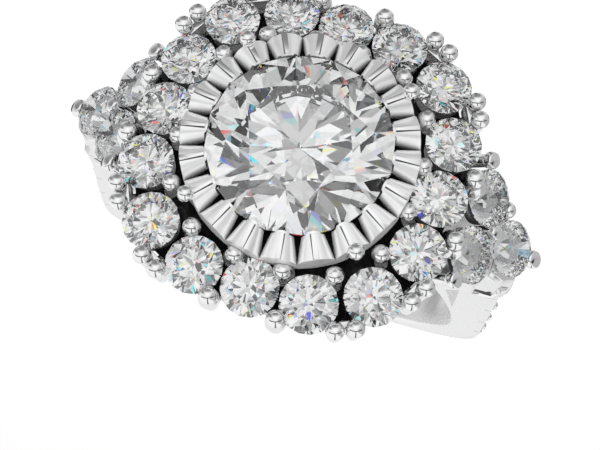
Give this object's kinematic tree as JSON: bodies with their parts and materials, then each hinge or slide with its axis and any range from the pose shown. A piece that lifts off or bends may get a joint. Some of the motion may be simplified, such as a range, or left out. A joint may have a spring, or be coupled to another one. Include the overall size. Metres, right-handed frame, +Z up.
{
  "type": "halo ring",
  "caption": "Halo engagement ring at rest on its side: round stone in a fluted collar, rounded-square halo, stepped shoulder stones and a tapering shank.",
  "frame": {"origin": "centre of the footprint of the bounding box, on the surface the ring rests on", "axes": "+Z up from that surface, +Y from the foot of the shank to the head, +X across the shoulders"},
  "size_m": [0.0214, 0.025, 0.0138],
  "materials": {
    "metal": "polished white gold or platinum",
    "stone": "clear, cut and polished"
  },
  "bodies": {
    "root": {"setting": "metal", "centre_stone": "stone", "halo_stone_01": "stone", "halo_stone_02": "stone", "halo_stone_03": "stone", "halo_stone_04": "stone", "halo_stone_05": "stone", "halo_stone_06": "stone", "halo_stone_07": "stone", "halo_stone_08": "stone", "halo_stone_09": "stone", "halo_stone_10": "stone", "halo_stone_11": "stone", "halo_stone_12": "stone", "halo_stone_13": "stone", "halo_stone_14": "stone", "halo_stone_15": "stone", "halo_stone_16": "stone", "right_front_stone": "stone", "right_back_stone": "stone", "right_tip_stone": "stone", "left_front_stone": "stone", "left_back_stone": "stone", "left_tip_stone": "stone", "right_shank_stones": "stone", "left_shank_stones": "stone"}
  },
  "joints": []
}
